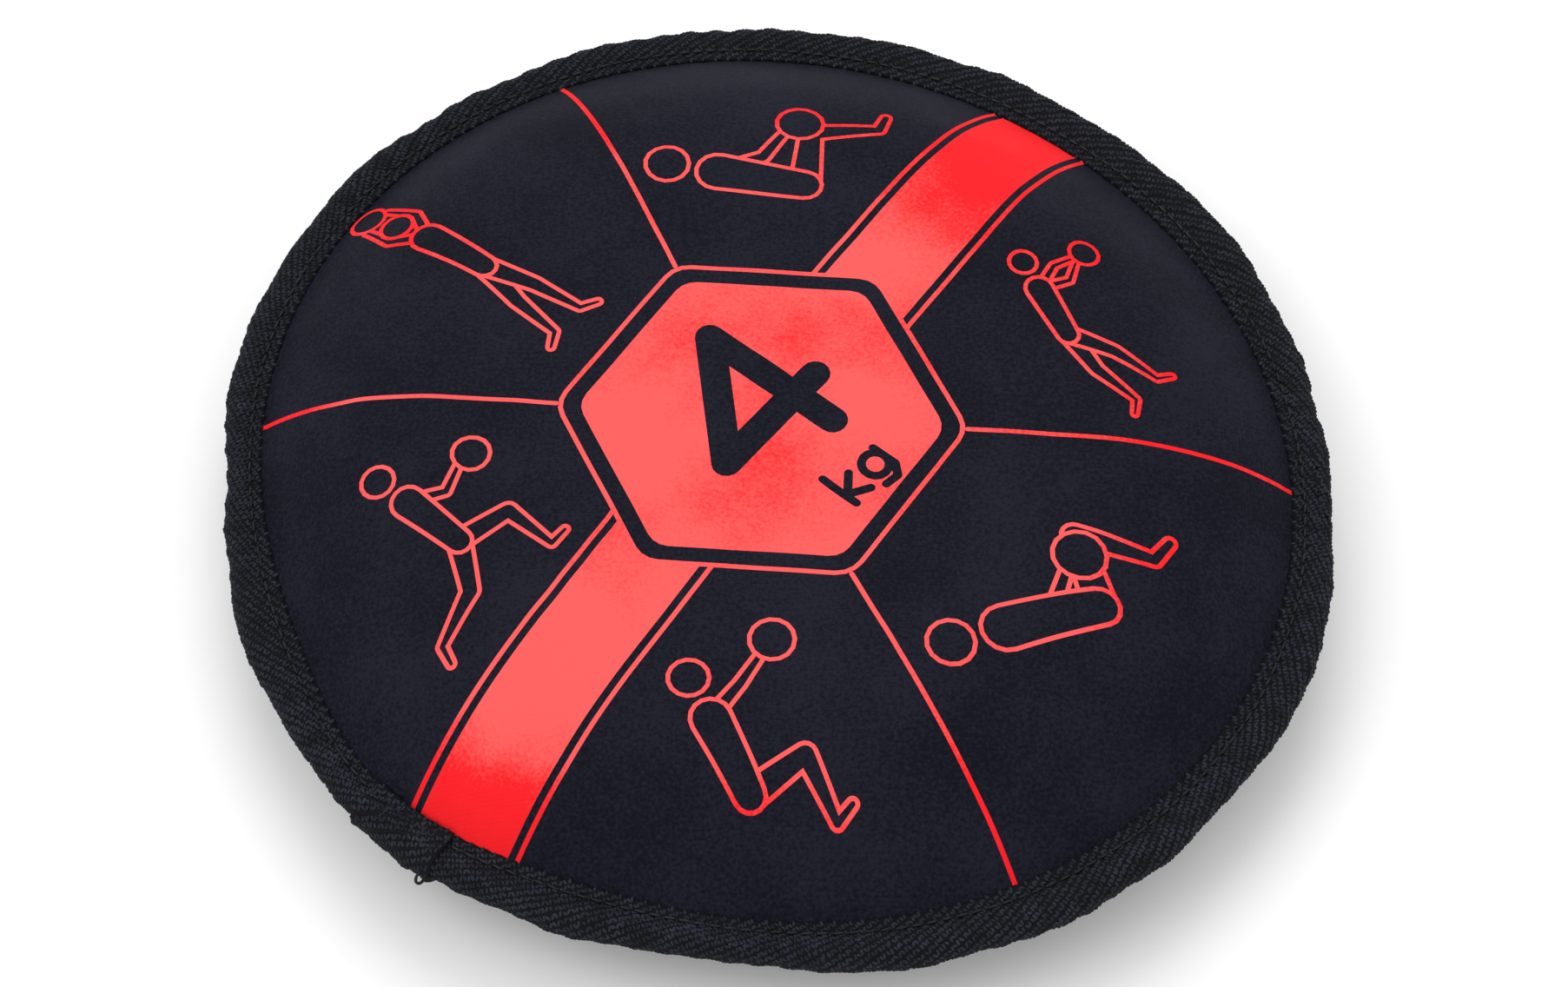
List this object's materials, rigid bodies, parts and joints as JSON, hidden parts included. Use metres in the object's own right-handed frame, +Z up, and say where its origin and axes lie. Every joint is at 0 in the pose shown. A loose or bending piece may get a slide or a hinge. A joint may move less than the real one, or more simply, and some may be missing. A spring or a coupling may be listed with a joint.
{
  "type": "soft medicine ball disc",
  "caption": "Flat round soft medicine ball: a sand-filled neoprene disc with a printed top and a taped rim, for weighted exercise.",
  "frame": {"origin": "on the floor under the middle of the disc", "axes": "+Z up, through the middle of the disc; +X along the printed face's level line"},
  "size_m": [0.28, 0.28, 0.05],
  "materials": {
    "printed_jersey": "matte",
    "red_print": "matte",
    "black_jersey": "matte",
    "neoprene_sponge": "matte",
    "lining_jersey": "matte",
    "twill_tape": "matte",
    "black_thread": "satin",
    "bag_cloth": "matte",
    "bag_thread": "satin",
    "iron_sand": "matte"
  },
  "bodies": {
    "root": {"top_face_jersey": "printed_jersey", "top_neoprene_sponge": "neoprene_sponge", "top_lining_jersey": "lining_jersey", "bottom_face_jersey": "black_jersey", "bottom_neoprene_sponge": "neoprene_sponge", "bottom_lining_jersey": "lining_jersey", "binding_tape": "twill_tape", "lap_tack_thread": "black_thread", "inner_bag_top": "bag_cloth", "inner_bag_bottom": "bag_cloth", "iron_sand": "iron_sand", "panel_seam_needle_thread": "black_thread", "panel_seam_bobbin_thread": "black_thread", "binding_needle_thread": "black_thread", "binding_bobbin_thread": "black_thread", "bag_seam_needle_thread": "bag_thread", "bag_seam_bobbin_thread": "bag_thread", "bag_closing_thread": "bag_thread"}
  },
  "joints": []
}
